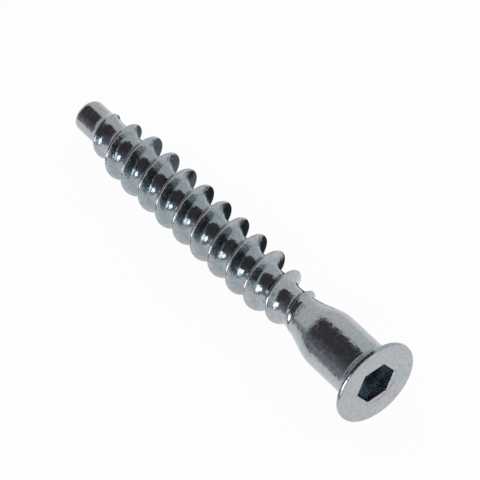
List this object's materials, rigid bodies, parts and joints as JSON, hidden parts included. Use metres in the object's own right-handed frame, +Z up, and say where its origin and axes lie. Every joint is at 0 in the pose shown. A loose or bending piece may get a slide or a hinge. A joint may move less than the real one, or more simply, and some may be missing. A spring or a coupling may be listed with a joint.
{
  "type": "one-piece furniture connector screw",
  "caption": "Countersunk furniture connector screw with a hexagon socket, a smooth shank, a coarse deep right-hand thread and a plain pilot tip, in bright zinc-plated steel",
  "frame": {"origin": "centre of the footprint, at the height of what the screw lies on", "axes": "+Z up; the screw lies along X with its head at +X and its tip at -X, and its own axis dips 2.2 degrees towards the tip"},
  "size_m": [0.0502, 0.0098, 0.0099],
  "materials": {
    "zinc_plated_steel": "bright zinc plate"
  },
  "bodies": {
    "root": {"connector_screw": "zinc_plated_steel"}
  },
  "joints": []
}
